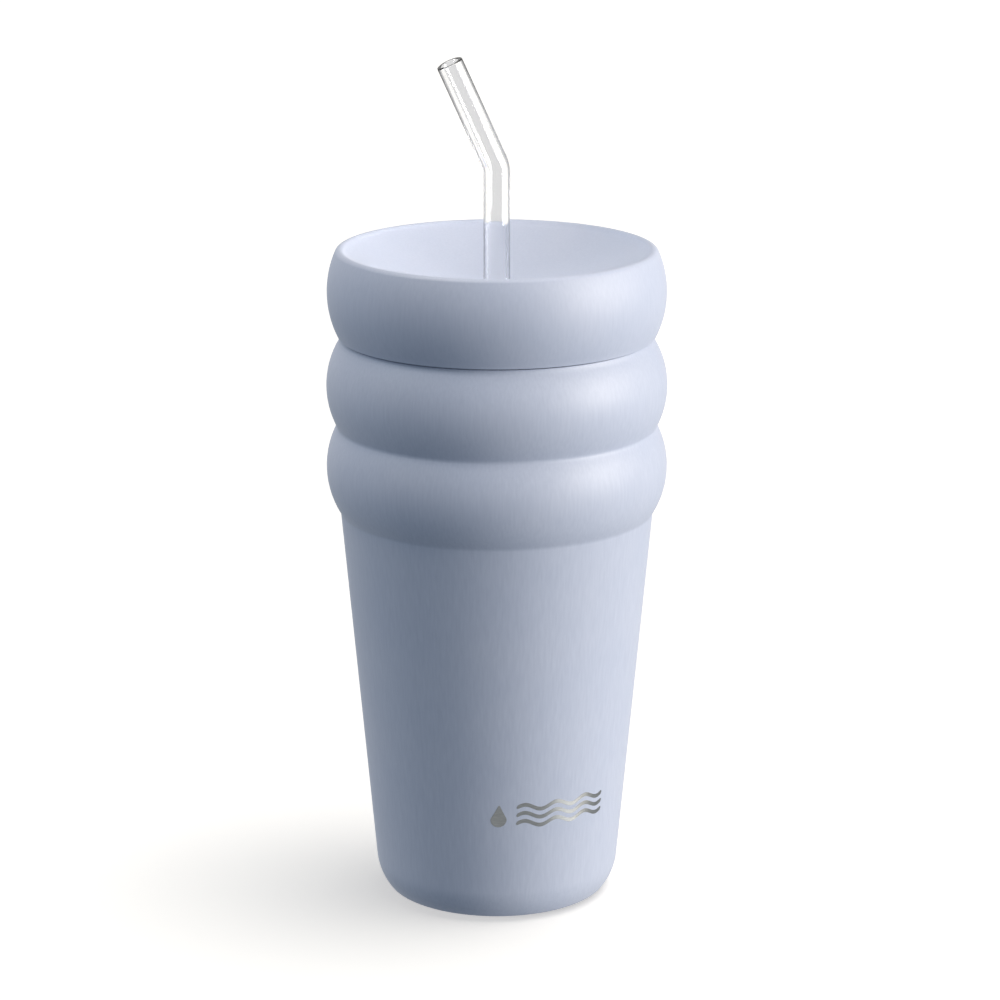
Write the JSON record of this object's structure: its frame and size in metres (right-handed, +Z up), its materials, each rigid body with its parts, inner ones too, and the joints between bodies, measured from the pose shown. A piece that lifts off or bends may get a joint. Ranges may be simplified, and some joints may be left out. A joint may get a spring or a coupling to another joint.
{
  "type": "insulated straw tumbler",
  "caption": "Tapered double-wall drinking cup with bulged rings at the top, a push-in dished lid and a bent glass straw through its middle.",
  "frame": {"origin": "middle of the base pad's underside, where the cup stands", "axes": "+Z up along the cup's axis towards the lid; +Y away from the front, which carries the etched mark; the straw's tip leans towards -X and a little towards -Y"},
  "size_m": [0.09, 0.09, 0.2258],
  "materials": {
    "powder_coated_steel": "satin lavender-blue powder coat with a very fine grain",
    "brushed_steel": "satin electropolished stainless steel",
    "pressed_steel": "plain pressed stainless sheet",
    "copper_foil": "bright copper foil",
    "getter_alloy": "sintered grey powder metal",
    "solder_glass": "fused dark solder glass",
    "pad_silicone": "matte silicone, tinted to the coat",
    "lid_plastic": "satin moulded polypropylene, tinted to the coat",
    "gasket_silicone": "translucent white silicone",
    "grommet_silicone": "matte silicone, tinted to the lid",
    "borosilicate_glass": "clear flame-polished tube"
  },
  "bodies": {
    "vessel": {"outer_shell": "powder_coated_steel", "inner_liner": "brushed_steel", "copper_foil": "copper_foil", "base_pan": "pressed_steel", "vacuum_seal": "solder_glass", "getter_pellet": "getter_alloy", "getter_clip": "pressed_steel", "base_pad": "pad_silicone"},
    "lid_seal": {"lid_gasket": "gasket_silicone"},
    "lid": {"lid_cover": "lid_plastic", "lid_plug": "lid_plastic"},
    "grommet": {"straw_grommet": "grommet_silicone"},
    "drinking_straw": {"straw": "borosilicate_glass"}
  },
  "joints": [
    {"name": "lid_lift", "type": "slide", "parent": "vessel", "child": "lid_seal", "axis": [0, 0, 1], "range_m": [0, 0.16]},
    {"name": "lid_turn", "type": "hinge", "parent": "lid_seal", "child": "lid", "pos_m": [0, 0, 0.1465], "axis": [0, 0, 1], "continuous": true},
    {"name": "straw_swivel", "type": "hinge", "parent": "lid", "child": "grommet", "pos_m": [0, 0, 0.164], "axis": [0, 0, 1], "continuous": true},
    {"name": "straw_slide", "type": "slide", "parent": "grommet", "child": "drinking_straw", "axis": [0, 0, 1], "range_m": [-0.003, 0.175]}
  ]
}
